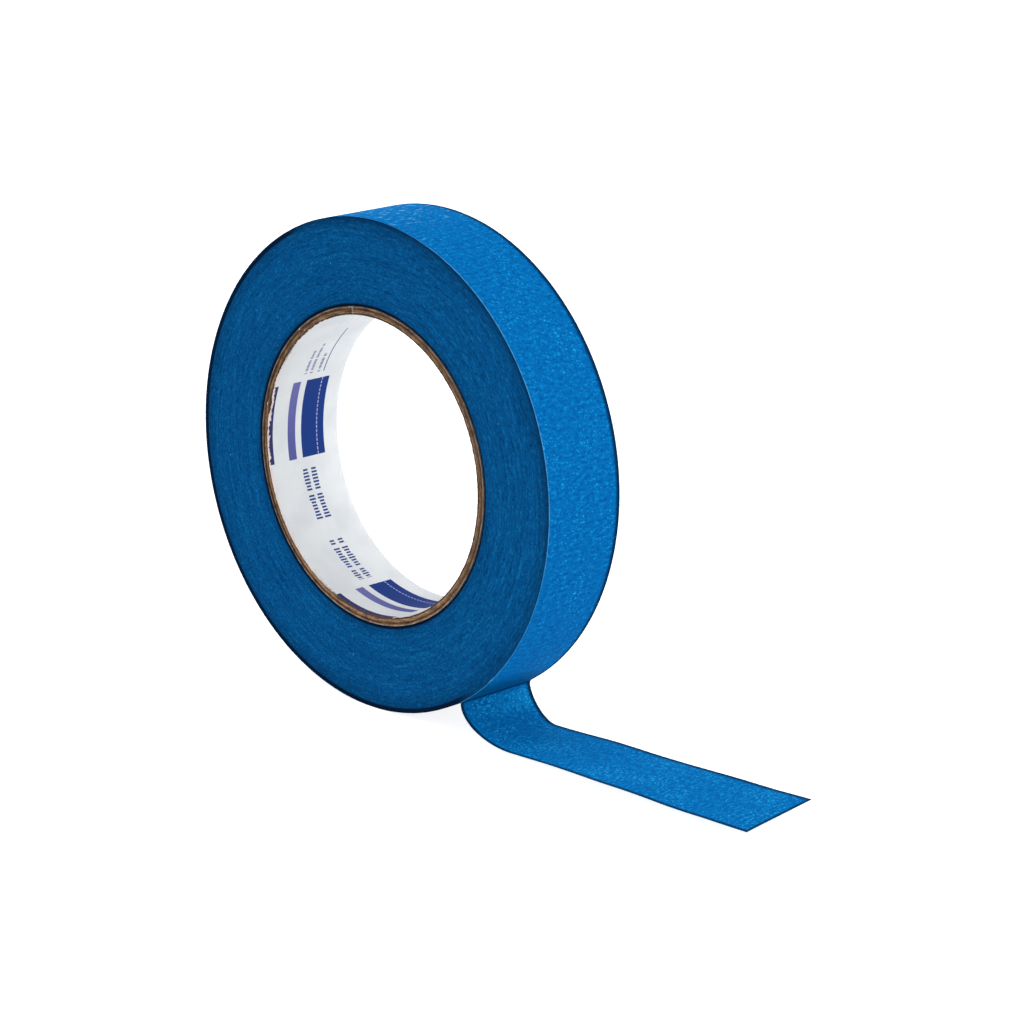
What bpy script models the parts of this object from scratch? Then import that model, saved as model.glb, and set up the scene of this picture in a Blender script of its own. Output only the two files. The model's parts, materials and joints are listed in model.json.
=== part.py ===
"""Masking tape roll: 55 m of 24 mm crepe tape on a spiral-wound 3 inch paperboard core.

The roll stands on its rim with its axis along Y, and its slit faces look to -Y and +Y.
The origin is on the rim's lowest line. The free end of the tape, the lead, peels off
low on the +X side and lies along the surface that the roll stands on, towards +X.
The core and the wound turns are one reel. The outermost turn and the lead are one web.
The reel turns inside the outermost turn as tape is pulled off.
Units are metres, +Z up.
"""
import math

import bmesh
import bpy
import numpy as np
from mathutils import Matrix, Vector

# The tape, the roll and the bore of its core
TAPE_WIDTH = 0.024
TAPE_THICKNESS = 0.00013
ROLL_DIAMETER = 0.1247
CORE_BORE = 0.0762

# The core's wall from the bore outwards: a paper liner and three plies of board
LAYER_THICKNESSES = {
    "core_liner": 0.0001,
    "core_ply_inner": 0.0006,
    "core_ply_middle": 0.0006,
    "core_ply_outer": 0.00065,
}
LAYER_GAP = 0.00005
TURN_GAP = 0.00005

# Each layer is a strip wound in a spiral. Its butt seam is a slit that slants across the
# core, at this angle round from the top of the bore towards +X.
SEAM_ANGLES = {"core_liner": 65, "core_ply_inner": 22, "core_ply_middle": 142, "core_ply_outer": 262}
SEAM_GAP = 0.0003
SEAM_SLANT = math.radians(63)
SEAM_CUT_FROM, SEAM_CUT_TO = 0.026, 0.042

# Rings have flat sides, and one of them faces straight down
RING_SIDES = 96
SIDE_ANGLE = 2 * math.pi / RING_SIDES

# The tape leaves the roll this many sides up from the lowest line
PEEL_SIDES = 8.5
HINGE_GAP = 0.00016
TURN_START_GAP = 0.001

# Each edge of the lead curls down from the peel line to where it touches the surface, and
# then runs out to its end. Points are (x, z) of the middle of the tape's thickness. A curl of
# roundness 2 is a quarter ellipse, and less is closer to a straight slope.
FRONT_EDGE = {"touch": (0.0500, 0.0008), "end": (0.1268, 0.0019), "roundness": 2.0, "rise": 0.7}
REAR_EDGE = {
    "touch": (0.0420, 0.5 * TAPE_THICKNESS),
    "end": (0.1253, 0.0032),
    "roundness": 1.6,
    "rise": 1.1,
}
EDGE_POINTS = 400

# The lead bends like a chain of short strips. Each one starts this far along the tape.
STRIP_STARTS = {"lead_curl": 0.0, "lead_1": 0.020, "lead_2": 0.046, "lead_3": 0.072}
STRIP_STEP = 0.0015

ROLL_RADIUS = 0.5 * ROLL_DIAMETER
HALF_WIDTH = 0.5 * TAPE_WIDTH
SIDE_LENGTH = 2 * ROLL_RADIUS * math.sin(0.5 * SIDE_ANGLE)
AXLE_HEIGHT = ROLL_RADIUS * math.cos(0.5 * SIDE_ANGLE)
AXLE = Vector((0.0, 0.0, AXLE_HEIGHT))

# Each finish is a name, a linear colour and a roughness
BLUE_TAPE = ("tape", (0.006, 0.170, 0.500), 0.55)
SLIT_EDGES = ("tape_edge", (0.004, 0.085, 0.260), 0.70)
CORE_BOARD = ("core_board", (0.240, 0.135, 0.075), 0.90)
LINER_PAPER = ("liner_paper", (0.740, 0.770, 0.810), 0.80)


def clear_scene():
    for thing in list(bpy.data.objects):
        bpy.data.objects.remove(thing, do_unlink=True)


def add_reel_axis():
    """The empty on the roll's axis that the pieces of the reel are parented to."""
    reel = bpy.data.objects.new("reel_axis", None)
    reel.location = AXLE
    bpy.context.scene.collection.objects.link(reel)
    return reel


def painted(thing, finish):
    """Gives an object its own Principled material."""
    name, colour, roughness = finish
    material = bpy.data.materials.new(f"{name}_{thing.name}")
    material.use_nodes = True
    shader = material.node_tree.nodes["Principled BSDF"]
    shader.inputs["Base Color"].default_value = (*colour, 1.0)
    shader.inputs["Roughness"].default_value = roughness
    shader.inputs["Metallic"].default_value = 0.0
    thing.data.materials.append(material)
    return thing


def add_object(name, mesh, finish, parent=None):
    thing = bpy.data.objects.new(name, mesh)
    bpy.context.scene.collection.objects.link(thing)
    thing.parent = parent
    mesh.shade_smooth()
    mesh.set_sharp_from_angle(angle=math.radians(35))
    return painted(thing, finish)


def mesh_of(name, shape):
    mesh = bpy.data.meshes.new(name)
    shape.to_mesh(mesh)
    shape.free()
    return mesh


def skinned(name, sections, closed):
    """A solid through cross-sections of equally many corners, closed in a ring or capped."""
    shape = bmesh.new()
    loops = [[shape.verts.new(corner) for corner in section] for section in sections]
    pairs = list(zip(loops, loops[1:]))
    if closed:
        pairs.append((loops[-1], loops[0]))
    else:
        shape.faces.new(loops[0])
        shape.faces.new(loops[-1])
    for here, there in pairs:
        for i, corner in enumerate(here):
            j = (i + 1) % len(here)
            shape.faces.new((corner, here[j], there[j], there[i]))
    bmesh.ops.recalc_face_normals(shape, faces=shape.faces)
    bmesh.ops.triangulate(shape, faces=shape.faces, quad_method="FIXED")
    return mesh_of(name, shape)


def rim_point(radius, sides, y):
    """A point on a flat-sided ring, this many sides round from its lowest line towards +X."""
    corner = math.floor(sides - 0.5) + 0.5
    before, after = (angle * SIDE_ANGLE for angle in (corner, corner + 1))
    start = Vector((radius * math.sin(before), y, -radius * math.cos(before)))
    end = Vector((radius * math.sin(after), y, -radius * math.cos(after)))
    return start.lerp(end, sides - corner)


def ring_section(inner, outer, sides):
    """The four corners of a ring's cross-section, as wide as the tape."""
    corners = [(inner, -HALF_WIDTH), (inner, HALF_WIDTH), (outer, HALF_WIDTH), (outer, -HALF_WIDTH)]
    return [rim_point(radius, sides, y) for radius, y in corners]


def add_ring(name, inner, outer, finish, reel):
    sections = [ring_section(inner, outer, side + 0.5) for side in range(RING_SIDES)]
    return add_object(name, skinned(name, sections, closed=True), finish, reel)


def cut_seam(layer):
    """Cuts a slit that slants across one side of a layer of the core."""
    length = 1.25 * TAPE_WIDTH / math.cos(SEAM_SLANT)
    depth = SEAM_CUT_TO - SEAM_CUT_FROM
    shape = bmesh.new()
    bmesh.ops.create_cube(shape, size=1.0)
    bmesh.ops.scale(shape, vec=(length, SEAM_GAP, depth), verts=shape.verts)
    slanted = Matrix.Rotation(0.5 * math.pi - SEAM_SLANT, 4, "Z")
    outwards = Matrix.Translation((0.0, 0.0, SEAM_CUT_FROM + 0.5 * depth))
    around = Matrix.Rotation(math.radians(SEAM_ANGLES[layer.name]), 4, "Y")
    shape.transform(around @ outwards @ slanted)
    name = f"{layer.name}_seam"
    cutter = bpy.data.objects.new(name, mesh_of(name, shape))
    bpy.context.scene.collection.objects.link(cutter)
    cutter.parent = layer.parent
    cutter.hide_render = True
    cutter.display_type = "WIRE"
    cut = layer.modifiers.new("seam", "BOOLEAN")
    cut.operation = "DIFFERENCE"
    cut.solver = "EXACT"
    cut.object = cutter


def build_core(reel):
    """The liner and the plies, glued round each other. Returns the core's outer radius."""
    inner = 0.5 * CORE_BORE
    for name, thickness in LAYER_THICKNESSES.items():
        finish = LINER_PAPER if name == "core_liner" else CORE_BOARD
        outer = inner + thickness
        cut_seam(add_ring(name, inner, outer, finish, reel))
        inner = outer + LAYER_GAP
    return outer


def build_tape_pack(reel, core_radius):
    """All the wound turns but the outermost."""
    outer = ROLL_RADIUS - TAPE_THICKNESS - TURN_GAP
    add_ring("tape_pack", core_radius + TURN_GAP, outer, SLIT_EDGES, reel)


def build_outer_turn():
    """The outermost turn: once round the pack, from just under the lead to the peel line."""
    first = PEEL_SIDES + 0.5 * HINGE_GAP / SIDE_LENGTH
    last = PEEL_SIDES + RING_SIDES - TURN_START_GAP / SIDE_LENGTH
    corners = [PEEL_SIDES + i for i in range(1, RING_SIDES)]
    inner = ROLL_RADIUS - TAPE_THICKNESS
    sections = [
        [AXLE + corner for corner in ring_section(inner, ROLL_RADIUS, sides)]
        for sides in (first, *corners, last)
    ]
    add_object("outer_turn", skinned("outer_turn", sections, closed=False), BLUE_TAPE)


def lead_edge(touch, end, roundness, rise):
    """One edge of the lead: a rounded curl down from the peel line, then a long low rise.

    Returns the distance of each point along the edge, and the points as (x, z).
    """
    peel = AXLE + rim_point(ROLL_RADIUS - 0.5 * TAPE_THICKNESS, PEEL_SIDES, 0.0)
    turn = np.linspace(0.0, 0.5 * math.pi, EDGE_POINTS)
    share = np.linspace(0.0, 1.0, EDGE_POINTS)[1:]
    curl_x = touch[0] + (peel.x - touch[0]) * np.abs(np.cos(turn)) ** (2 / roundness)
    curl_z = peel.z + (touch[1] - peel.z) * np.sin(turn) ** (2 / roundness)
    tail_x = touch[0] + (end[0] - touch[0]) * share
    tail_z = touch[1] + (end[1] - touch[1]) * share**rise
    points = np.column_stack([np.append(curl_x, tail_x), np.append(curl_z, tail_z)])
    steps = np.linalg.norm(np.diff(points, axis=0), axis=1)
    return np.append(0.0, np.cumsum(steps)), points


def point_along(edge, distance):
    distances, points = edge
    return np.array([np.interp(distance, distances, points[:, i]) for i in (0, 1)])


def lead_section(edges, distance):
    """The four corners of the lead's cross-section, this far along the tape."""
    nearby = 0.2 * STRIP_STEP
    middles, runs = [], []
    for edge, y in zip(edges, (-HALF_WIDTH, HALF_WIDTH)):
        x, z = point_along(edge, distance)
        run_x, run_z = point_along(edge, distance + nearby) - point_along(edge, distance - nearby)
        middles.append(Vector((x, y, z)))
        runs.append(Vector((run_x, 0.0, run_z)))
    across = middles[1] - middles[0]
    half_front, half_rear = (
        0.5 * TAPE_THICKNESS * run.cross(across).normalized() for run in runs
    )
    front, rear = middles
    return front - half_front, rear - half_rear, rear + half_rear, front + half_front


def build_lead():
    """The free end, in short strips that hinge on each other across the tape."""
    edges = [lead_edge(**FRONT_EDGE), lead_edge(**REAR_EDGE)]
    length = min(distances[-1] for distances, _ in edges)
    stops = [*STRIP_STARTS.values(), length]
    for name, start, end in zip(STRIP_STARTS, stops, stops[1:]):
        start, end = start + 0.5 * HINGE_GAP, end - 0.5 * HINGE_GAP
        steps = math.ceil((end - start) / STRIP_STEP)
        sections = [lead_section(edges, d) for d in np.linspace(start, end, steps + 1)]
        add_object(name, skinned(name, sections, closed=False), BLUE_TAPE)


def main():
    clear_scene()
    reel = add_reel_axis()
    core_radius = build_core(reel)
    build_tape_pack(reel, core_radius)
    build_outer_turn()
    build_lead()


main()
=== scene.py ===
"""Masking tape roll: the looks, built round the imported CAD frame.

The tape is one strip. It is followed from where the outermost turn starts, just under the
lead, once round the roll to the peel line, and on to the end of the lead. A place on it is
its distance along the tape from the peel line, negative on the roll, and its distance across.
Angles round the roll are measured from its lowest line towards +X, seen from the front, -Y.
"""
import json
import math

import bmesh
import bpy
import numpy as np
from mathutils import Matrix, Vector, noise


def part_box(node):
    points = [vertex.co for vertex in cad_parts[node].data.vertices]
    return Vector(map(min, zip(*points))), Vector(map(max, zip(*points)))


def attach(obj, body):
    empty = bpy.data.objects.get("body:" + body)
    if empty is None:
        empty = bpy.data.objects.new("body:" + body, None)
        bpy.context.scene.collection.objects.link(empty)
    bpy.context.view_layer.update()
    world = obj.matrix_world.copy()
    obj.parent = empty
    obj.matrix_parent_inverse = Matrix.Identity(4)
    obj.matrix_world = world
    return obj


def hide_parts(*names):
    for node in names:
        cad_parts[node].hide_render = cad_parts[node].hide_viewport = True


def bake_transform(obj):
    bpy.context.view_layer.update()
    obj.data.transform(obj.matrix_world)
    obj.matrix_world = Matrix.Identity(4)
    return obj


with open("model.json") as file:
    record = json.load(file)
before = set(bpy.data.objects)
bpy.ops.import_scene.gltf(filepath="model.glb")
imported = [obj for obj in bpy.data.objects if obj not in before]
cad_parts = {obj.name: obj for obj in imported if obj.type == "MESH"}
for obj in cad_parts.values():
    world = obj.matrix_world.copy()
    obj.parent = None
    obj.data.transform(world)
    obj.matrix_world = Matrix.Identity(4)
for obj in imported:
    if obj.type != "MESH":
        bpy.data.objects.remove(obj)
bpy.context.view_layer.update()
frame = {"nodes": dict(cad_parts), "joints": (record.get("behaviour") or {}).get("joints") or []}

HINGES = {joint["name"]: Vector(joint["pos_m"]) for joint in frame["joints"]}
AXLE = HINGES["roll_spin"]
PEEL = HINGES["lead_peel"]
PEEL_ANGLE = math.atan2(PEEL.x, AXLE.z - PEEL.z)
HALF_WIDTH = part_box("outer_turn")[1].y

# The tape. The crepe's folds run across it.
TAPE_THICKNESS = 0.00013
CREPE_DEPTH = 0.00004
FOLD_PITCH = 0.0008
FOLD_LENGTH = 0.0016
ALONG_STEP = 0.0002
ACROSS_STEPS = 40
TUCKED_UNDER = 0.002
TURN_SEAT = 0.00002
STEP_OF_PATH = 0.00005
SOFTEST_BEND = 0.0006
WAVE_HEIGHT = 0.0004
WAVE_LENGTH = 0.017
WAVE_WIDTH = 0.021
WAVES_FROM = (0.012, 0.035)

# Each edge of the lead, as in the CAD: where it touches the surface and where it ends, as
# (x, z) of the middle of the tape, with the roundness of its curl and the power of its rise
FRONT_EDGE = {"touch": (0.0500, 0.0008), "end": (0.1268, 0.0019), "roundness": 2.0, "rise": 0.7}
REAR_EDGE = {
    "touch": (0.0420, 0.5 * TAPE_THICKNESS),
    "end": (0.1253, 0.0032),
    "roundness": 1.6,
    "rise": 1.1,
}

# The lead's pieces meet halfway between its hinges.
# Each has the node that it stands for, its hinge, and its start and end along the tape, where
# None is the tape's end.
LEAD_PIECES = {
    "lead_peel_bend": ("lead_curl", "lead_peel", -0.012, 0.010),
    "lead_bend_1": ("lead_1", "lead_flex_1", 0.010, 0.033),
    "lead_bend_2": ("lead_2", "lead_flex_2", 0.033, 0.059),
    "lead_bend_3": ("lead_3", "lead_flex_3", 0.059, None),
}

# The wound turns, seen on their slit faces
TURN_LINES = 148
TURN_SIDES = 320
TURN_SHIFT = 0.00005
LINE_PITCH = 0.00045
BAND_PITCH = 0.0026
GROOVE_DEPTH = 0.0004
GROOVE_WIDTH = 0.0005
CORNER_DEPTH = 0.0001
CORNER_WIDTH = 0.0009

# The core. Each layer's seam leaves the front end at its own angle and slants across.
SEAM_SLOPE = 1.963
SEAM_GAP = 0.00025
SEAMS_AT_FRONT = {
    "core_liner": 147,
    "core_ply_inner": 189,
    "core_ply_middle": 69,
    "core_ply_outer": 309,
}
BOARD_MESH = {"sides": 420, "columns": 24}
LINER_MESH = {"sides": 1200, "columns": 12}
END_BEVEL = 0.0001
END_ROUGHNESS = 0.00004
# Where the liner's torn stretch begins and where it ends, in degrees. Each pair is where the
# tear is nil and where it is full.
TORN_FROM = (212.0, 246.0)
TORN_TO = (270.0, 256.0)
TEAR_DEPTH = 0.0006
LINER_RECESS = 0.00014
LINER_TRIM = 0.0001
EDGE_WIDTH = 0.0007


def smooth_step(value, low, high):
    """0 below low, 1 above high and a smooth rise between. It falls if low is the larger."""
    share = np.clip((value - low) / (high - low), 0.0, 1.0)
    return share * share * (3 - 2 * share)


def noise_at(*places):
    """Smooth noise from -1 to 1 at each place, given as three arrays of coordinates."""
    shape = np.broadcast(*places).shape
    points = np.stack([np.broadcast_to(place, shape).ravel() for place in places], axis=1)
    return np.array([noise.noise(point) for point in points.tolist()]).reshape(shape)


def round_noise(grains, angle, across):
    """Smooth noise from -1 to 1 round the axle, with this many grains in each radian."""
    return noise_at(grains * np.cos(angle), grains * np.sin(angle), across)


# ---------------------------------------------------------------- meshes


def loft(name, sections, closed, attributes):
    """A solid through rings of corners, closed in a circle or capped at both ends.

    Each attribute has a value or a vector for each corner, for the material to read.
    """
    count, corners = sections.shape[:2]
    index = np.arange(count * corners).reshape(count, corners)
    here, there = index[:-1], index[1:]
    if closed:
        here, there = index, np.roll(index, -1, axis=0)
    sides = [here, np.roll(here, -1, axis=1), np.roll(there, -1, axis=1), there]
    faces = np.stack(sides, axis=-1).reshape(-1, 4).tolist()
    if not closed:
        faces += [index[0].tolist(), index[-1].tolist()]
    mesh = bpy.data.meshes.new(name)
    mesh.from_pydata(sections.reshape(-1, 3).tolist(), [], faces)
    face_outwards(mesh)
    for key, values in attributes.items():
        kind, part = ("FLOAT_VECTOR", "vector") if values.ndim == 3 else ("FLOAT", "value")
        kept = mesh.attributes.new(key, kind, "POINT")
        kept.data.foreach_set(part, values.astype(np.float32).ravel())
    piece = bpy.data.objects.new(name, mesh)
    bpy.context.scene.collection.objects.link(piece)
    return piece


def face_outwards(mesh):
    shape = bmesh.new()
    shape.from_mesh(mesh)
    bmesh.ops.recalc_face_normals(shape, faces=shape.faces)
    shape.to_mesh(mesh)
    shape.free()
    mesh.shade_smooth()
    mesh.set_sharp_from_angle(angle=math.radians(60))


def round_axle(radius, angle, y):
    """Points at these radii, angles and places along the axis."""
    radius, angle, y = np.broadcast_arrays(radius, angle, y)
    return np.stack([radius * np.sin(angle), y, AXLE.z - radius * np.cos(angle)], axis=-1)


def ring_radii(node):
    """The inner and the outer radius of a CAD ring."""
    corners = [vertex.co - AXLE for vertex in frame["nodes"][node].data.vertices]
    radii = [math.hypot(corner.x, corner.z) for corner in corners]
    return min(radii), max(radii)


# ---------------------------------------------------------------- the tape


def turn_radius(angle):
    """The outside of the outermost turn, which is a spiral that rests on the surface."""
    return AXLE.z + TAPE_THICKNESS * (1 - angle / (2 * math.pi))


def edge_path(touch, end, roundness, rise):
    """The middle of the tape along one edge, as distances from the peel line and (x, z)."""
    tucked = TUCKED_UNDER / AXLE.z
    angle = np.linspace(PEEL_ANGLE + 2 * math.pi + tucked, PEEL_ANGLE, 4000)
    rim = round_axle(turn_radius(angle) - 0.5 * TAPE_THICKNESS, angle, 0.0)[:, [0, 2]]
    start = rim[-1]
    turn = np.linspace(0.0, 0.5 * math.pi, 400)[1:]
    curl_x = touch[0] + (start[0] - touch[0]) * np.abs(np.cos(turn)) ** (2 / roundness)
    curl_z = start[1] + (touch[1] - start[1]) * np.sin(turn) ** (2 / roundness)
    share = np.linspace(0.0, 1.0, 400)[1:]
    tail_x = touch[0] + (end[0] - touch[0]) * share
    tail_z = touch[1] + (end[1] - touch[1]) * share**rise
    lead = np.column_stack([np.append(curl_x, tail_x), np.append(curl_z, tail_z)])
    return softened(np.vstack([rim, lead]), lengths_along(rim)[-1])


def lengths_along(points):
    steps = np.linalg.norm(np.diff(points, axis=0), axis=1)
    return np.append(0.0, np.cumsum(steps))


def softened(points, rim_length):
    """The path with its bends as soft as the tape's, and its distances from the rim's end."""
    lengths = lengths_along(points)
    even = np.arange(0.0, lengths[-1], STEP_OF_PATH)
    points = np.column_stack([np.interp(even, lengths, points[:, i]) for i in (0, 1)])
    reach = int(3 * SOFTEST_BEND / STEP_OF_PATH)
    weights = np.exp(-0.5 * (np.arange(-reach, reach + 1) * STEP_OF_PATH / SOFTEST_BEND) ** 2)
    weights /= weights.sum()
    before = 2 * points[0] - points[reach:0:-1]
    after = 2 * points[-1] - points[-2 : -reach - 2 : -1]
    longer = np.vstack([before, points, after])
    points = np.column_stack([np.convolve(longer[:, i], weights, "valid") for i in (0, 1)])
    lengths = lengths_along(points)
    return lengths - lengths[round(rim_length / STEP_OF_PATH)], points


EDGES = [edge_path(**FRONT_EDGE), edge_path(**REAR_EDGE)]
TAPE_START = max(lengths[0] for lengths, _ in EDGES)
TAPE_END = min(lengths[-1] for lengths, _ in EDGES)


def edge_at(edge, along):
    """Where an edge of the tape is, and the direction its outer face looks in, as (x, z)."""
    lengths, points = edge
    place = np.column_stack([np.interp(along, lengths, points[:, i]) for i in (0, 1)])
    slopes = np.gradient(points, lengths, axis=0)
    run = np.column_stack([np.interp(along, lengths, slopes[:, i]) for i in (0, 1)])
    facing = np.column_stack([-run[:, 1], run[:, 0]])
    return place, facing / np.linalg.norm(facing, axis=1)[:, None]


def tape_surface(along, across):
    """The middle of the tape and the way its outer face looks, at each place along and across."""
    share = (0.5 + 0.5 * across / HALF_WIDTH)[None, :, None]
    (front, front_facing), (rear, rear_facing) = (edge_at(edge, along) for edge in EDGES)
    place = front[:, None] * (1 - share) + rear[:, None] * share
    facing = front_facing[:, None] * (1 - share) + rear_facing[:, None] * share
    width = np.broadcast_to(across, place.shape[:2])
    middle = np.stack([place[..., 0], width, place[..., 1]], axis=-1)
    middle[..., 2] += lead_waves(along, across)
    return middle, np.stack([facing[..., 0], np.zeros_like(width), facing[..., 1]], axis=-1)


def lead_waves(along, across):
    """How far the lead's slight waves lift it off the surface."""
    wave = noise_at(along[:, None] / WAVE_LENGTH, across[None, :] / WAVE_WIDTH, 3.0)
    share = smooth_step(along, *WAVES_FROM)[:, None]
    return WAVE_HEIGHT * share * np.maximum(0.0, 0.5 + wave)


def crepe_relief(along, across):
    """How far the crepe stands out at each place, from 0 to 1."""
    u, v = along[:, None], across[None, :]
    drift = 0.5 * FOLD_PITCH * noise_at(u / 0.003, v / 0.005, 0.0)
    folds = noise_at((u + drift) / FOLD_PITCH, v / FOLD_LENGTH, 5.0)
    creases = noise_at(u / (0.42 * FOLD_PITCH), v / (0.5 * FOLD_LENGTH), 9.0)
    return np.clip(0.5 + 0.75 * folds + 0.35 * creases, 0.0, 1.0)


def tape_piece(name, start, end, seat=None):
    """A length of the tape, as thick as the tape or down to a round seat of this radius."""
    along = np.linspace(start, end, math.ceil((end - start) / ALONG_STEP) + 1)
    across = np.linspace(-HALF_WIDTH, HALF_WIDTH, ACROSS_STEPS + 1)
    middle, facing = tape_surface(along, across)
    relief = crepe_relief(along, across)
    height = 0.5 * TAPE_THICKNESS + CREPE_DEPTH * (relief - 1)
    outer = middle + height[..., None] * facing
    if seat is None:
        inner = middle - 0.5 * TAPE_THICKNESS * facing
        kept = across
    else:
        ends = middle[:, [0, -1]]
        angle = np.arctan2(ends[..., 0], AXLE.z - ends[..., 2])
        inner = round_axle(seat, angle, ends[..., 1])
        kept = across[[0, -1]]
    sections = np.concatenate([outer, inner[:, ::-1]], axis=1)
    v = np.concatenate([across, kept[::-1]])
    place = np.stack(np.broadcast_arrays(along[:, None], v[None, :], 0.0), axis=-1)
    reliefs = np.concatenate([relief, np.full(inner.shape[:2], 0.5)], axis=1)
    return loft(name, sections, False, {"tape_place": place, "relief": reliefs})


def build_outer_turn(finish):
    """The outermost turn, as far as the lead's first piece, seated on the turns below it."""
    seat = ring_radii("tape_pack")[1] + TURN_SEAT
    lead_start = LEAD_PIECES["lead_peel_bend"][2]
    turn = tape_piece("outer_turn_crepe", TAPE_START, lead_start, seat)
    turn.data.materials.append(finish)
    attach(turn, "web")
    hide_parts("outer_turn")


def build_lead(finish):
    """The lead's pieces, each of which stands in for its node from the CAD."""
    for name, (node, hinge, start, end) in LEAD_PIECES.items():
        end = end or TAPE_END
        piece = tape_piece(name, start, end)
        piece.data.materials.append(finish)
        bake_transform(piece)
        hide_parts(node)


def build_wound_turns(finish):
    """The slit faces of the wound turns. A turn that stands out at one face sinks at the other."""
    inner, outer = ring_radii("tape_pack")
    radius = np.linspace(inner, outer, TURN_LINES)[None, :]
    angle = np.linspace(0.0, 2 * math.pi, TURN_SIDES, endpoint=False)[:, None]
    lines = noise_at(radius / LINE_PITCH, 16.0 * np.cos(angle), 16.0 * np.sin(angle))
    bands = noise_at(radius / BAND_PITCH, 0.6 * np.cos(angle) + 7.0, 0.6 * np.sin(angle))
    shift = TURN_SHIFT * (0.8 * lines + 0.6 * bands)
    groove = GROOVE_DEPTH * np.exp(-(((radius - inner) / GROOVE_WIDTH) ** 2))
    corner = CORNER_DEPTH * np.exp(-(((radius - outer) / CORNER_WIDTH) ** 2))
    sunk = TURN_SHIFT + groove + corner
    front = round_axle(radius, angle, -HALF_WIDTH - shift + sunk)
    back = round_axle(radius, angle, HALF_WIDTH - shift - sunk)
    relief = np.clip(0.5 + 0.9 * lines + 0.2 * bands, 0.0, 1.0)
    sections = np.concatenate([front, back[:, ::-1]], axis=1)
    reliefs = np.concatenate([relief, relief[:, ::-1]], axis=1)
    turns = loft("wound_turns", sections, True, {"relief": reliefs})
    turns.data.materials.append(finish)
    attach(turns, "reel")
    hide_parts("tape_pack")


# ---------------------------------------------------------------- the core


def layer_section(bevel, columns):
    """A layer's section: how far through the wall, how far along and how sunk each corner is.

    The corners run out along the front end, back along the outside, in at the back end and home.
    """
    rounding = np.array([0.0, 0.15, 0.5, 0.85, 1.0])
    depths = bevel * np.array([1.0, 0.25, 0.0, 0.25, 1.0])
    inside = np.linspace(0.0, 1.0, columns + 1)[1:-1]
    zeros, ones = np.zeros_like(inside), np.ones_like(inside)
    wall = np.concatenate([rounding, ones, rounding[::-1], zeros])
    length = np.concatenate([np.zeros_like(depths), inside, np.ones_like(depths), inside[::-1]])
    sunk = np.concatenate([depths, zeros, -depths, zeros])
    return wall, length, sunk


def core_layer(name, node, front_edge, back_edge, bevel, relief_at, sides, columns):
    """A strip wound into a ring with one slanting butt seam.

    front_edge and back_edge give the ends' places along the axis at each angle, and bevel is
    how deep the corners of the ends are rounded.
    """
    inner, outer = ring_radii(node)
    seam = math.radians(SEAMS_AT_FRONT[node])
    half_gap = 0.5 * SEAM_GAP / inner
    round_way = np.linspace(half_gap, 2 * math.pi - half_gap, sides + 1)[:, None]
    wall, length, sunk = layer_section(bevel, columns)
    flat_y = -HALF_WIDTH + 2 * HALF_WIDTH * length[None, :]
    angle = seam + round_way - SEAM_SLOPE * (flat_y + HALF_WIDTH) / inner
    front, back = front_edge(angle, wall), back_edge(angle, wall)
    y = front + (back - front) * length + sunk
    sections = round_axle(inner + (outer - inner) * wall[None, :], angle, y)
    relief = relief_at(sunk, y - front)
    layer = loft(name, sections, False, {"relief": relief})
    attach(layer, "reel")
    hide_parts(node)
    return layer


def rough_end(place, seed):
    """A cut end of board at this place along the axis, rough as sawn fibres are."""

    def end(angle, wall):
        coarse = round_noise(6.0, angle, seed)
        fine = round_noise(55.0, angle, seed + 3.0 * wall)
        return place + END_ROUGHNESS * (0.5 * coarse + fine)

    return end


def board_relief(sunk, from_front):
    """1 on the flat of an end and 0 in the gap between two plies."""
    flatness = 1.0 - np.abs(sunk) / np.abs(sunk).max()
    return np.broadcast_to(flatness, from_front.shape)


def torn_edge(angle, wall):
    """The liner's front edge, torn back from the end of the core on the -X side."""
    turned = np.degrees(np.mod(angle, 2 * math.pi))
    torn = smooth_step(turned, *TORN_FROM) * smooth_step(turned, *TORN_TO)
    tears = round_noise(11.0, angle, 2.0)
    fray = round_noise(60.0, angle, 4.0 * wall)
    nicks = round_noise(25.0, angle, 8.0)
    bits = round_noise(130.0, angle, 6.0 + 4.0 * wall)
    depth = LINER_RECESS + TEAR_DEPTH * torn * np.clip(0.5 + 1.1 * tears, 0.0, 1.0)
    ragged = 0.00018 * fray + 0.00012 * bits
    return -HALF_WIDTH + depth + 0.0001 * nicks + (0.4 + torn) * ragged


def trimmed_edge(angle, wall):
    """The liner's back edge, trimmed almost clean."""
    fray = round_noise(60.0, angle, 9.0 + 4.0 * wall)
    return HALF_WIDTH - LINER_TRIM + 0.00004 * fray


def liner_relief(_, from_front):
    """0 at the torn front edge, rising to 1 a little way in."""
    return np.clip(from_front / EDGE_WIDTH, 0.0, 1.0)


def build_core(paper):
    """The three board plies and the paper liner inside them."""
    # How deep each ply's ends are sunk, its colours inside and outside, and where they change
    plies = {
        "core_ply_inner": (0.00014, BOARD_UMBER, BOARD_TAN, 0.55),
        "core_ply_middle": (0.0002, BOARD_TAN, BOARD_BROWN, 0.35),
        "core_ply_outer": (0.0001, BOARD_BROWN, BOARD_GREY, 0.5),
    }
    for seed, (node, (recess, inside, outside, change)) in enumerate(plies.items()):
        front = rough_end(-HALF_WIDTH + recess, 10.0 * seed)
        back = rough_end(HALF_WIDTH - recess, 10.0 * seed + 5.0)
        name = node.replace("core_ply", "core_board")
        ply = core_layer(name, node, front, back, END_BEVEL, board_relief, **BOARD_MESH)
        ply.data.materials.append(kraft_board(name, node, inside, outside, change))
    edges = (torn_edge, trimmed_edge)
    liner = core_layer("liner_sheet", "core_liner", *edges, 0.0, liner_relief, **LINER_MESH)
    liner.data.materials.append(paper)


# ---------------------------------------------------------------- materials


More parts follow.
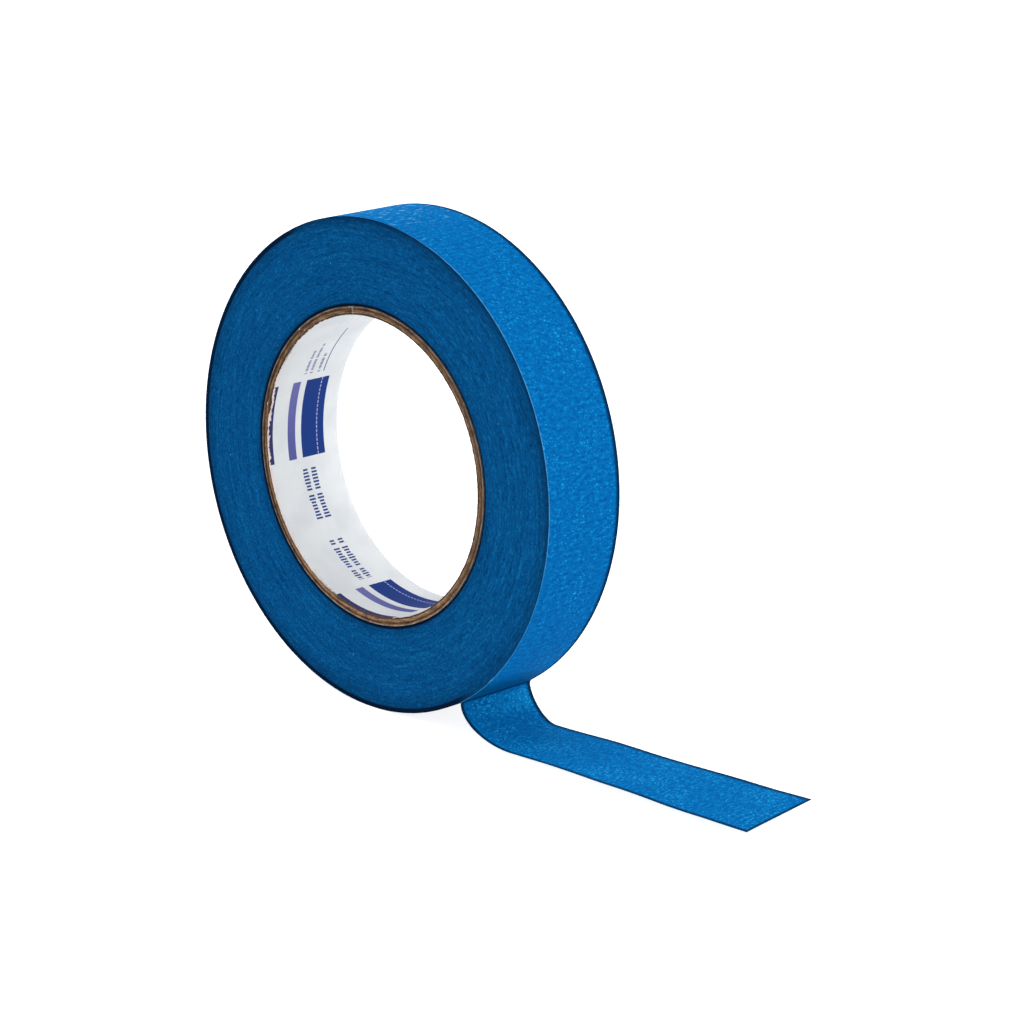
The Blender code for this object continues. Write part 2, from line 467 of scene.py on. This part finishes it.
class Nodes:
    """Short calls for building a material's nodes. Inputs are numbers, tuples or outputs."""

    def __init__(self, name):
        self.material = bpy.data.materials.new(name)
        self.material.use_nodes = True
        self.tree = self.material.node_tree
        self.shader = self.tree.nodes["Principled BSDF"]

    def add(self, kind, settings, inputs):
        node = self.tree.nodes.new(kind)
        for key, value in settings.items():
            setattr(node, key, value)
        for key, value in inputs.items():
            self.put(node.inputs[key], value)
        return node

    def put(self, socket, value):
        if isinstance(value, bpy.types.NodeSocket):
            self.tree.links.new(value, socket)
        else:
            socket.default_value = value

    def math(self, operation, *values):
        node = self.add("ShaderNodeMath", {"operation": operation}, dict(enumerate(values)))
        return node.outputs[0]

    def sum(self, *values):
        total = values[0]
        for value in values[1:]:
            total = self.math("ADD", total, value)
        return total

    def times(self, *values):
        product = values[0]
        for value in values[1:]:
            product = self.math("MULTIPLY", product, value)
        return product

    def minus(self, value, taken):
        return self.math("SUBTRACT", value, taken)

    def most(self, first, second):
        return self.math("MAXIMUM", first, second)

    def within(self, value, low, high):
        """1 where the value lies between low and high, and 0 elsewhere."""
        above = self.math("GREATER_THAN", value, low)
        below = self.math("LESS_THAN", value, high)
        return self.times(above, below)

    def dashes(self, value, pitch, share):
        """1 over this share of each pitch, from its start, and 0 over the rest."""
        in_pitch = self.math("FRACT", self.times(value, 1.0 / pitch))
        return self.math("LESS_THAN", in_pitch, share)

    def rise(self, value, low, high):
        """0 below low, 1 above high and a smooth rise between. It falls if low is the larger."""
        settings = {"interpolation_type": "SMOOTHSTEP"}
        limits = {"Value": value, "From Min": min(low, high), "From Max": max(low, high)}
        limits |= {"To Min": float(low > high), "To Max": float(low < high)}
        return self.add("ShaderNodeMapRange", settings, limits).outputs["Result"]

    def stretch(self, value, ends):
        """1 along a stretch and 0 off it, given the two numbers of a rise for each of its ends."""
        start, stop = ends
        return self.times(self.rise(value, *start), self.rise(value, *stop))

    def mix(self, share, first, second):
        """The colour between the first and the second."""
        node = self.tree.nodes.new("ShaderNodeMix")
        node.data_type = "RGBA"
        # A mix node has sockets for each type of data, and these are its colour ones
        sockets = [node.inputs[at] for at in (0, 6, 7)]
        for socket, value in zip(sockets, (share, first, second)):
            self.put(socket, (*value, 1.0) if isinstance(value, tuple) else value)
        return node.outputs[2]

    def attribute(self, name, output):
        return self.add("ShaderNodeAttribute", {"attribute_name": name}, {}).outputs[output]

    def scaled(self, vector, scales):
        settings = {"operation": "MULTIPLY"}
        return self.add("ShaderNodeVectorMath", settings, {0: vector, 1: scales}).outputs[0]

    def split(self, vector):
        return self.add("ShaderNodeSeparateXYZ", {}, {0: vector}).outputs

    def joined(self, x, y, z):
        return self.add("ShaderNodeCombineXYZ", {}, {0: x, 1: y, 2: z}).outputs[0]

    def noise(self, place, detail=2.0, roughness=0.5):
        """Noise from 0 to 1 whose grains are one unit of place long."""
        inputs = {"Vector": place, "Scale": 1.0, "Detail": detail, "Roughness": roughness}
        return self.add("ShaderNodeTexNoise", {}, inputs).outputs[0]

    def bump(self, height, distance):
        inputs = {"Height": height, "Distance": distance, "Strength": 1.0}
        return self.add("ShaderNodeBump", {}, inputs).outputs[0]

    def round_axle(self):
        """The radius, the angle in degrees and the place along the axis, from the object's place."""
        x, y, z = self.split(self.add("ShaderNodeTexCoord", {}, {}).outputs["Object"])
        up = self.minus(z, AXLE.z)
        radius = self.math("SQRT", self.sum(self.times(x, x), self.times(up, up)))
        angle = self.math("ARCTAN2", x, self.times(up, -1.0))
        return radius, self.math("DEGREES", angle), y

    def cosine(self, angle, middle):
        """The cosine of an angle measured from this middle, both in degrees."""
        return self.math("COSINE", self.math("RADIANS", self.minus(angle, middle)))

    def ring_noise(self, at_radius, around, across, detail=2.0, roughness=0.5):
        """Noise with grains this long around the axle and this wide along a radius or the axis."""
        radius, angle, y = self.round_axle()
        cosine, sine = self.cosine(angle, 0.0), self.cosine(angle, 90.0)
        grains = at_radius / around
        over = self.times(self.sum(radius, y), 1.0 / across)
        place = self.joined(self.times(cosine, grains), self.times(sine, grains), over)
        return self.noise(place, detail, roughness)

    def finish(self, colour, roughness, normal, specular):
        self.put(self.shader.inputs["Base Color"], colour)
        self.put(self.shader.inputs["Roughness"], roughness)
        self.put(self.shader.inputs["Normal"], normal)
        self.shader.inputs["Specular IOR Level"].default_value = specular
        return self.material


# Linear colours
CREPE_DEEP = (0.0005, 0.0640, 0.2180)
CREPE_BLUE = (0.0008, 0.0955, 0.2990)
CREPE_PALE = (0.0020, 0.1590, 0.4220)
CREPE_FLECK = (0.0150, 0.3200, 0.6400)
CREPE_SHEEN = (0.0, 0.2850, 0.8000)
HIGHLIGHT_PALE = (0.1600, 0.4800, 0.7200)
CORNER_HIGHLIGHT_PALE = (0.0900, 0.3300, 0.5800)
EDGE_SHADE_DARK = (0.0004, 0.0110, 0.0400)
PEEL_SHADE_COLOUR = (0.0002, 0.0060, 0.0350)
SLIT_DEEP = (0.0005, 0.0300, 0.1000)
SLIT_BLUE = (0.0012, 0.0600, 0.1870)
SLIT_PALE = (0.0040, 0.1100, 0.2900)
FACE_SHADE_DARK = (0.0012, 0.0070, 0.0220)
SPECK = (0.1500, 0.4200, 0.6200)
BOARD_DARK = (0.0250, 0.0110, 0.0060)
BOARD_UMBER = (0.0800, 0.0480, 0.0280)
BOARD_TAN = (0.2150, 0.1300, 0.0750)
BOARD_BROWN = (0.0900, 0.0480, 0.0220)
BOARD_GREY = (0.1550, 0.1250, 0.1100)
CHIP_PALE = (0.6000, 0.5200, 0.4600)
PAPER_WHITE = (0.5950, 0.6150, 0.6250)
PAPER_GREY = (0.5350, 0.5550, 0.5750)
TORN_PINK = (0.6000, 0.5100, 0.4800)
INK_NAVY = (0.0010, 0.0250, 0.1640)
INK_VIOLET = (0.1050, 0.1080, 0.2950)
INK_DARK = (0.0220, 0.0220, 0.1000)
INK_PALE = (0.3000, 0.3200, 0.5600)

# The tape's noises, as how many grains fit in a metre along it and across it
FINE_GRAIN = (2100.0, 1250.0, 1.0)
COARSE_GRAIN = (1300.0, 800.0, 1.0)
GLINT_GRAIN = (1900.0, 1300.0, 1.0)
PATCH_GRAIN = (60.0, 90.0, 1.0)
HIGHLIGHT_STREAK_GRAIN = (900.0, 420.0, 1.0)
CORNER_HIGHLIGHT_GRAINS = 350.0

# Where the tape's looks come and go along it. Each pair is where a look is nil and where it
# is full, and a stretch has one pair for each of its ends.
LEAD_COARSE_AND_LIT = (0.004, 0.014)
BEND_HIGHLIGHT = ((0.0, 0.0012), (0.0090, 0.0040))
TOP_HIGHLIGHT = ((-0.196, -0.172), (-0.146, -0.162))
PEEL_SHADE = (-0.0145, -0.0035)
PEEL_SHADE_END = (0.0006, -0.0002)
PEEL_SHADE_SLANT = 0.2
UNDER_LEAD_SHADE = (-0.345, -0.357)
CORNER_HIGHLIGHT = (-0.160, -0.130)
CORNER_HIGHLIGHT_FAINTER = ((-0.060, -0.045), (-0.012, -0.020))

# The same for the distances from the tape's edges
FRONT_EDGE_SHADE = (0.0013, 0.0005)
REAR_EDGE_SHADE = (0.0018, 0.0006)
TIP_EDGE_SHADE = (0.0011, 0.0004)
CORNER_LINE = (0.00015, 0.00003)


def crepe_tape():
    """Blue crepe paper, with painted shade at its edges, by the peel line and under the lead, and
    painted highlights on its curl, its top and its front corner.
    """
    nodes = Nodes("crepe_tape")
    place = nodes.attribute("tape_place", "Vector")
    along, across, _ = nodes.split(place)
    # The lead's grain is coarser, and the lead is painted a little lighter than the roll
    on_lead = nodes.rise(along, *LEAD_COARSE_AND_LIT)
    grain = crepe_grain(nodes, place, on_lead)
    # A painted highlight lies on the curl just past the peel line, strongest at the rear
    rearward = nodes.sum(0.12, nodes.rise(across, -HALF_WIDTH, HALF_WIDTH))
    bend_highlight = nodes.times(nodes.stretch(along, BEND_HIGHLIGHT), rearward)
    colour = crepe_colour(nodes, place, grain, bend_highlight, on_lead)
    # Painted highlights in short pale strokes on the top of the roll
    highlight_streaks = nodes.rise(nodes.noise(nodes.scaled(place, HIGHLIGHT_STREAK_GRAIN), detail=1.0), 0.56, 0.76)
    top_highlight = nodes.stretch(along, TOP_HIGHLIGHT)
    colour = nodes.mix(nodes.times(highlight_streaks, top_highlight, 0.75), colour, HIGHLIGHT_PALE)
    colour = peel_shade(nodes, along, across, colour)
    colour = edge_shade(nodes, along, across, colour)
    colour = corner_highlight_and_shade(nodes, along, across, colour)
    roughness = nodes.sum(0.55, nodes.times(grain, 0.25))
    nodes.shader.inputs["Sheen Weight"].default_value = 0.36
    nodes.shader.inputs["Sheen Roughness"].default_value = 0.4
    nodes.shader.inputs["Sheen Tint"].default_value = (*CREPE_SHEEN, 1.0)
    return nodes.finish(colour, roughness, nodes.bump(grain, 0.00005), specular=0.004)


def crepe_grain(nodes, place, on_lead):
    """The paper's grain, which is coarser on the lead, where the tape is pulled straight."""
    fine = nodes.noise(nodes.scaled(place, FINE_GRAIN), roughness=0.6)
    coarse = nodes.noise(nodes.scaled(place, COARSE_GRAIN), roughness=0.6)
    share = nodes.times(on_lead, 0.6)
    return nodes.sum(nodes.times(fine, nodes.minus(1.0, share)), nodes.times(coarse, share))


def crepe_colour(nodes, place, grain, bend_highlight, on_lead):
    """Deep blue in the crepe's folds and paler on its crests, partly as painted shade and highlight,
    with bright flecks here and there.
    """
    relief = nodes.attribute("relief", "Fac")
    # The relief paints shade into the folds and a highlight onto the crests, over the paper's grain
    tone = nodes.sum(nodes.times(relief, 0.3), nodes.times(grain, 0.7))
    # Painted light: the curl past the peel line is lighter, and the lead a little lighter than the roll
    tone = nodes.sum(tone, nodes.times(bend_highlight, 0.22), nodes.times(on_lead, 0.032))
    colour = nodes.mix(nodes.rise(tone, 0.3, 0.5), CREPE_DEEP, CREPE_BLUE)
    colour = nodes.mix(nodes.rise(tone, 0.5, 0.72), colour, CREPE_PALE)
    # The flecks are partly fibres and partly painted glints, with more of them on the crests, on the
    # curl past the peel line and on the lead
    glints = nodes.noise(nodes.scaled(place, GLINT_GRAIN), detail=1.0)
    patches = nodes.noise(nodes.scaled(place, PATCH_GRAIN), detail=1.0)
    level = nodes.sum(glints, nodes.times(relief, 0.08), nodes.times(patches, 0.3))
    level = nodes.sum(level, nodes.times(bend_highlight, 0.1), nodes.times(on_lead, 0.06))
    return nodes.mix(nodes.times(nodes.rise(level, 0.83, 0.95), 0.7), colour, CREPE_FLECK)


def peel_shade(nodes, along, across, colour):
    """Painted shade: the turn darkens towards the line where it peels off, and where it goes under the
    lead.
    """
    slanted = nodes.sum(along, nodes.times(across, -PEEL_SHADE_SLANT))
    above = nodes.times(nodes.rise(slanted, *PEEL_SHADE), nodes.rise(along, *PEEL_SHADE_END))
    share = nodes.most(nodes.times(above, 0.94), nodes.rise(along, *UNDER_LEAD_SHADE))
    return nodes.mix(share, colour, PEEL_SHADE_COLOUR)


def edge_shade(nodes, along, across, colour):
    """Painted shade darkens the slit edges and the tape's end, but for the front edge on the roll."""
    off_roll = nodes.math("GREATER_THAN", along, 0.0)
    front = nodes.times(nodes.rise(nodes.sum(across, HALF_WIDTH), *FRONT_EDGE_SHADE), off_roll)
    rear = nodes.rise(nodes.minus(HALF_WIDTH, across), *REAR_EDGE_SHADE)
    tip = nodes.rise(nodes.minus(TAPE_END, along), *TIP_EDGE_SHADE)
    dark = nodes.most(nodes.most(front, rear), tip)
    return nodes.mix(nodes.times(dark, 0.95), colour, EDGE_SHADE_DARK)


def corner_highlight_and_shade(nodes, along, across, colour):
    """A painted highlight runs along the roll's front corner from near the top to the peel line, broken
    up and fainter for a stretch, and painted shade darkens the corner elsewhere.
    """
    on_roll = nodes.math("LESS_THAN", along, 0.0)
    corner = nodes.times(nodes.rise(nodes.sum(across, HALF_WIDTH), *CORNER_LINE), on_roll)
    corner_shade = nodes.rise(along, *reversed(CORNER_HIGHLIGHT))
    colour = nodes.mix(nodes.times(corner, corner_shade), colour, EDGE_SHADE_DARK)
    highlight_breaks = nodes.noise(nodes.joined(nodes.times(along, CORNER_HIGHLIGHT_GRAINS), 0.0, 0.0))
    corner_highlight = nodes.times(nodes.rise(highlight_breaks, 0.2, 0.6), nodes.rise(along, *CORNER_HIGHLIGHT))
    strength = nodes.minus(0.6, nodes.times(nodes.stretch(along, CORNER_HIGHLIGHT_FAINTER), 0.35))
    return nodes.mix(nodes.times(corner, corner_highlight, strength), colour, CORNER_HIGHLIGHT_PALE)


# The slit face's noises, as the length of a grain round the face and its width along a radius
TURN_GRAIN = (0.0016, LINE_PITCH)
SLIT_GRAIN = (0.0006, 0.0004)
RING_GRAIN = (0.014, 0.0007)
SPECK_GRAIN = (0.0008, 0.0008)

# How far from its edges the slit face's shades are nil, and how far from them they are full
CORE_SHADE = (0.0045, 0.0)
CORE_GAP = (0.0010, 0.0004)
RIM_SHADE = (0.0060, 0.0)
RIM_SOFT_SHADE = (0.0015, 0.0002)
RIM_HARD_SHADE = (0.0013, 0.0008)


def slit_face():
    """The edges of the wound turns, as fine dark lines and a cut grain."""
    nodes = Nodes("slit_face")
    inner, outer = ring_radii("tape_pack")
    radius, angle, _ = nodes.round_axle()
    relief = nodes.attribute("relief", "Fac")
    middle = 0.5 * (inner + outer)
    lines = nodes.ring_noise(middle, *TURN_GRAIN, detail=1.0)
    grain = nodes.ring_noise(middle, *SLIT_GRAIN, roughness=0.6)
    rings = nodes.ring_noise(middle, *RING_GRAIN, detail=0.0)
    # The turns show more as lines at the upper right, and more as a grain at the lower left
    upper_right = nodes.rise(nodes.cosine(angle, 130.0), -0.6, 0.6)
    lined = nodes.sum(0.20, nodes.times(upper_right, 0.14))
    grained = nodes.minus(0.78, lined)
    tone = nodes.sum(nodes.times(relief, 0.08), nodes.times(lines, lined))
    tone = nodes.sum(tone, nodes.times(grain, grained), nodes.times(rings, 0.14))
    colour = nodes.mix(nodes.rise(tone, 0.33, 0.5), SLIT_DEEP, SLIT_BLUE)
    colour = nodes.mix(nodes.rise(tone, 0.5, 0.67), colour, SLIT_PALE)
    specks = nodes.rise(nodes.ring_noise(middle, *SPECK_GRAIN, detail=0.0), 0.90, 0.93)
    colour = nodes.mix(nodes.times(specks, 0.8), colour, SPECK)
    colour = face_margin_shade(nodes, nodes.minus(radius, inner), nodes.minus(outer, radius), angle, colour)
    height = nodes.sum(nodes.times(lines, 0.5), nodes.times(grain, 0.5))
    roughness = nodes.sum(0.6, nodes.times(grain, 0.25))
    return nodes.finish(colour, roughness, nodes.bump(height, 0.00005), specular=0.004)


def face_margin_shade(nodes, from_core, from_rim, angle, colour):
    """Painted shade: the face darkens towards both of its edges, most of all at the lower left of the
    rim.
    """
    upper_right = nodes.rise(nodes.cosine(angle, 135.0), 0.1, 0.9)
    lower_left = nodes.rise(nodes.cosine(angle, 300.0), -0.15, 0.0)
    shades = [
        nodes.times(nodes.rise(from_core, *CORE_SHADE), 0.25),
        nodes.times(nodes.rise(from_rim, *RIM_SHADE), 0.33),
        nodes.times(nodes.rise(from_rim, *RIM_SOFT_SHADE), upper_right, 0.5),
        nodes.times(nodes.rise(from_rim, *RIM_HARD_SHADE), lower_left, 0.97),
        nodes.rise(from_core, *CORE_GAP),
    ]
    for shade in shades:
        colour = nodes.mix(shade, colour, FACE_SHADE_DARK)
    return colour


# The core's noises, as the length of a grain round the core and its width across that
FIBRE_GRAIN = (0.0009, 0.00015)
BOARD_PATCH_GRAIN = (0.0030, 0.0005)
CHIP_GRAIN = (0.0011, 0.0006)
PAPER_GRAIN = (0.0006, 0.0006)
PAPER_CLOUD_GRAIN = (0.008, 0.008)
TEAR_GRAIN = (0.0010, 0.0008)


def kraft_board(name, node, inside, outside, change):
    """Board whose colour changes at this share of its thickness from the inside."""
    nodes = Nodes(name)
    inner, outer = ring_radii(node)
    radius, angle, _ = nodes.round_axle()
    relief = nodes.attribute("relief", "Fac")
    fibres = nodes.ring_noise(inner, *FIBRE_GRAIN, detail=3.0, roughness=0.6)
    patches = nodes.ring_noise(inner, *BOARD_PATCH_GRAIN)
    turn = inner + change * (outer - inner)
    colour = nodes.mix(nodes.rise(radius, turn - 0.0001, turn + 0.0001), inside, outside)
    tone = nodes.sum(nodes.times(fibres, 0.5), nodes.times(patches, 0.5))
    colour = nodes.scaled(colour, nodes.sum(0.25, nodes.times(nodes.rise(tone, 0.32, 0.68), 1.6)))
    lowest = nodes.rise(nodes.cosine(angle, 0.0), 0.3, 0.95)
    colour = nodes.scaled(colour, nodes.sum(0.85, nodes.times(lowest, 0.4)))
    colour = nodes.mix(nodes.times(nodes.rise(relief, 0.6, 0.1), 0.6), colour, BOARD_DARK)
    chips = nodes.ring_noise(inner, *CHIP_GRAIN, detail=0.0)
    colour = nodes.mix(nodes.rise(chips, 0.84, 0.88), colour, CHIP_PALE)
    # The inner ply's seam shows as one pale tick across the end of the core
    tick = nodes.rise(nodes.cosine(angle, SEAMS_AT_FRONT["core_ply_inner"]), 0.99996, 0.99999)
    colour = nodes.mix(nodes.times(tick, 0.24), colour, CHIP_PALE)
    roughness = nodes.sum(0.75, nodes.times(fibres, 0.2))
    return nodes.finish(colour, roughness, nodes.bump(fibres, 0.00006), specular=0.1)


# The liner's print, in degrees round the bore and metres along the axis. It is plain blocks
# and rows of bars, and it comes round again after half a turn.
PRINT_START = 249.1
PRINT_REPEAT = 180.0
BLOCK_STARTS = (0.0, 91.6)
BLOCK_SPAN = 31.9
VIOLET_BAND = (-0.0052, -0.0026)
NAVY_BAND = (-0.0006, 0.0071)
DASHED_LINE = (0.0046, 0.0049)
DASH_PITCH = 1.7
STRIP_END = -0.0102
RULE_SPAN = (153.0, 177.0)
RULE_BAND = (0.0042, 0.0045)
# Rows of bars, each with its span and its middle along the axis, and its bars' height and pitch
BOLD_ROWS = [
    (span, middle, 0.0022, 1.3) for span in ((36.4, 57.3), (65.9, 87.4)) for middle in (-0.0005, 0.0023)
]
SMALL_ROWS = [
    ((161.3, 177.0), 0.0, 0.0010, 0.7),
    ((164.8, 176.7), -0.0019, 0.0010, 0.7),
    ((167.6, 177.0), 0.0026, 0.0010, 0.7),
]
SMUDGE_ROWS = [((143.0, 147.0), middle, 0.0010, 0.9) for middle in (-0.0012, 0.0014, 0.0040)]
BARS_IN_GROUP = 9.0


def bars(nodes, place, y, span, middle, height, pitch):
    """A row of short upright bars of uneven height, with gaps between groups of them."""
    steps = nodes.times(place, 1.0 / pitch)
    which = nodes.math("FLOOR", steps)
    uneven = nodes.add("ShaderNodeTexWhiteNoise", {"noise_dimensions": "1D"}, {"W": which}).outputs[0]
    reach = nodes.sum(0.32 * height, nodes.times(uneven, 0.18 * height))
    shown = nodes.math("LESS_THAN", nodes.math("ABSOLUTE", nodes.minus(y, middle)), reach)
    drawn = nodes.dashes(steps, 1.0, 0.6)
    grouped = nodes.dashes(steps, BARS_IN_GROUP, 0.88)
    return nodes.times(shown, drawn, grouped, nodes.within(place, *span))


def printed(nodes, angle, y, paper):
    """The paper's colour with the print over it."""
    # Two whole turns keep the angle above 0
    place = nodes.math("MODULO", nodes.sum(angle, 720.0 - PRINT_START), PRINT_REPEAT)
    colour = blocks_over(nodes, place, y, paper)
    rows = [bars(nodes, place, y, *row) for row in BOLD_ROWS + SMALL_ROWS]
    rows.append(nodes.times(nodes.within(place, *RULE_SPAN), nodes.within(y, *RULE_BAND)))
    colour = nodes.mix(nodes.times(nodes.sum(*rows), 0.95), colour, INK_NAVY)
    smudges = nodes.sum(*[bars(nodes, place, y, *row) for row in SMUDGE_ROWS])
    return nodes.mix(nodes.times(smudges, 0.25), colour, INK_NAVY)


def blocks_over(nodes, place, y, colour):
    """The colour with blocks of bands over it, which turn from violet to navy round the bore."""
    in_block = nodes.sum(*[nodes.within(place, at, at + BLOCK_SPAN) for at in BLOCK_STARTS])
    fade = nodes.rise(nodes.math("MODULO", place, BLOCK_STARTS[1]), 0.0, BLOCK_SPAN)
    violet = nodes.mix(0.35, INK_VIOLET, nodes.mix(fade, INK_VIOLET, INK_NAVY))
    colour = nodes.mix(nodes.times(in_block, nodes.within(y, *VIOLET_BAND)), colour, violet)
    colour = nodes.mix(nodes.times(in_block, nodes.within(y, *NAVY_BAND)), colour, INK_NAVY)
    dashes = nodes.dashes(place, DASH_PITCH, 0.7)
    line = nodes.times(in_block, nodes.within(y, *DASHED_LINE), dashes)
    colour = nodes.mix(line, colour, INK_PALE)
    strip = nodes.times(in_block, nodes.math("LESS_THAN", y, STRIP_END))
    return nodes.mix(strip, colour, INK_DARK)


def liner_paper():
    """White paper with a print on it and a torn front edge."""
    nodes = Nodes("liner_paper")
    _, angle, y = nodes.round_axle()
    bore = ring_radii("core_liner")[0]
    fibres = nodes.ring_noise(bore, *PAPER_GRAIN, detail=4.0, roughness=0.6)
    clouds = nodes.ring_noise(bore, *PAPER_CLOUD_GRAIN)
    paper = nodes.mix(nodes.rise(clouds, 0.3, 0.7), PAPER_GREY, PAPER_WHITE)
    paper = nodes.mix(nodes.times(nodes.rise(fibres, 0.35, 0.75), 0.3), paper, PAPER_GREY)
    # Painted light and shade: the paper is a little darker towards the front of the bore and lighter
    # towards the back
    paper = nodes.scaled(paper, nodes.sum(1.0, nodes.times(y, 6.0)))
    colour = printed(nodes, angle, y, paper)
    colour = torn_paper(nodes, angle, colour)
    roughness = nodes.sum(0.55, nodes.times(fibres, 0.2))
    return nodes.finish(colour, roughness, nodes.bump(fibres, 0.00002), specular=0.12)


def torn_paper(nodes, angle, colour):
    """The colour with the liner's front edge over it: pink where it is torn, and brown elsewhere."""
    relief = nodes.attribute("relief", "Fac")
    tears = nodes.ring_noise(ring_radii("core_liner")[0], *TEAR_GRAIN)
    bare = nodes.rise(nodes.cosine(angle, 285.0), 0.5, 0.75)
    reach = nodes.sum(0.57, nodes.times(bare, 0.10))
    edge = nodes.minus(nodes.sum(relief, nodes.times(tears, 0.9)), reach)
    return nodes.mix(nodes.rise(edge, 0.08, -0.08), colour, nodes.mix(bare, BOARD_BROWN, TORN_PINK))


def pale_floor():
    """A light table: it glows, so that shadows hardly show on it."""
    nodes = Nodes("pale_floor")
    place = nodes.add("ShaderNodeTexCoord", {}, {}).outputs["Object"]
    clouds = nodes.noise(nodes.scaled(place, (3.0, 3.0, 3.0)))
    colour = nodes.mix(clouds, (0.50, 0.50, 0.50), (0.52, 0.52, 0.52))
    nodes.shader.inputs["Emission Color"].default_value = (1.0, 1.0, 1.0, 1.0)
    nodes.shader.inputs["Emission Strength"].default_value = FLOOR_GLOW
    roughness = nodes.sum(0.8, nodes.times(clouds, 0.1))
    return nodes.finish(colour, roughness, nodes.bump(clouds, 0.00001), specular=0.1)


# ---------------------------------------------------------------- the studio

CAMERA_PLACE = (0.61804, -0.58337, 0.29812)
CAMERA_AZIMUTH, CAMERA_ELEVATION, CAMERA_ROLL = 44.836, 16.359, 0.674
CAMERA_LENS = 124.35
FLOOR_SIZE = 8.0
FLOOR_GLOW = 0.87
SKY = 1.0
# The lamps' names, places, sizes and powers. They all face the roll.
LAMPS = {
    "side": (Vector((1.7, 0.6, 0.9)), 1.2, 7.0),
    "top": (Vector((0.2, 0.0, 1.9)), 1.2, 10.0),
    "back": (Vector((0.7, 1.8, 0.7)), 1.2, 15.0),
}


def add_camera():
    azimuth, elevation = math.radians(CAMERA_AZIMUTH), math.radians(CAMERA_ELEVATION)
    level = Vector((math.sin(azimuth), -math.cos(azimuth), 0.0))
    back = level * math.cos(elevation) + Vector((0.0, 0.0, math.sin(elevation)))
    right = Matrix.Rotation(math.radians(CAMERA_ROLL), 3, back) @ Vector((-level.y, level.x, 0.0))
    camera = bpy.data.objects.new("camera", bpy.data.cameras.new("camera"))
    turned = Matrix((right, back.cross(right), back)).transposed()
    camera.matrix_world = Matrix.Translation(CAMERA_PLACE) @ turned.to_4x4()
    camera.data.sensor_width = 36.0
    camera.data.lens = CAMERA_LENS
    bpy.context.scene.collection.objects.link(camera)
    bpy.context.scene.camera = camera


def add_lights():
    world = bpy.data.worlds.new("studio")
    world.use_nodes = True
    world.node_tree.nodes["Background"].inputs["Color"].default_value = (1.0, 1.0, 1.0, 1.0)
    world.node_tree.nodes["Background"].inputs["Strength"].default_value = SKY
    bpy.context.scene.world = world
    for name, (place, size, power) in LAMPS.items():
        lamp = bpy.data.lights.new(name, "AREA")
        lamp.energy = power
        lamp.size = size
        holder = bpy.data.objects.new(name, lamp)
        holder.location = place
        holder.rotation_euler = (AXLE - place).to_track_quat("-Z", "Y").to_euler()
        bpy.context.scene.collection.objects.link(holder)
    bpy.context.scene.view_settings.view_transform = "Standard"


def add_floor():
    shape = bmesh.new()
    bmesh.ops.create_grid(shape, x_segments=8, y_segments=8, size=0.5 * FLOOR_SIZE)
    mesh = bpy.data.meshes.new("floor")
    shape.to_mesh(mesh)
    shape.free()
    floor = bpy.data.objects.new("floor", mesh)
    bpy.context.scene.collection.objects.link(floor)
    floor.data.materials.append(pale_floor())


add_camera()
add_lights()
add_floor()
crepe = crepe_tape()
build_outer_turn(crepe)
build_lead(crepe)
build_wound_turns(slit_face())
build_core(liner_paper())
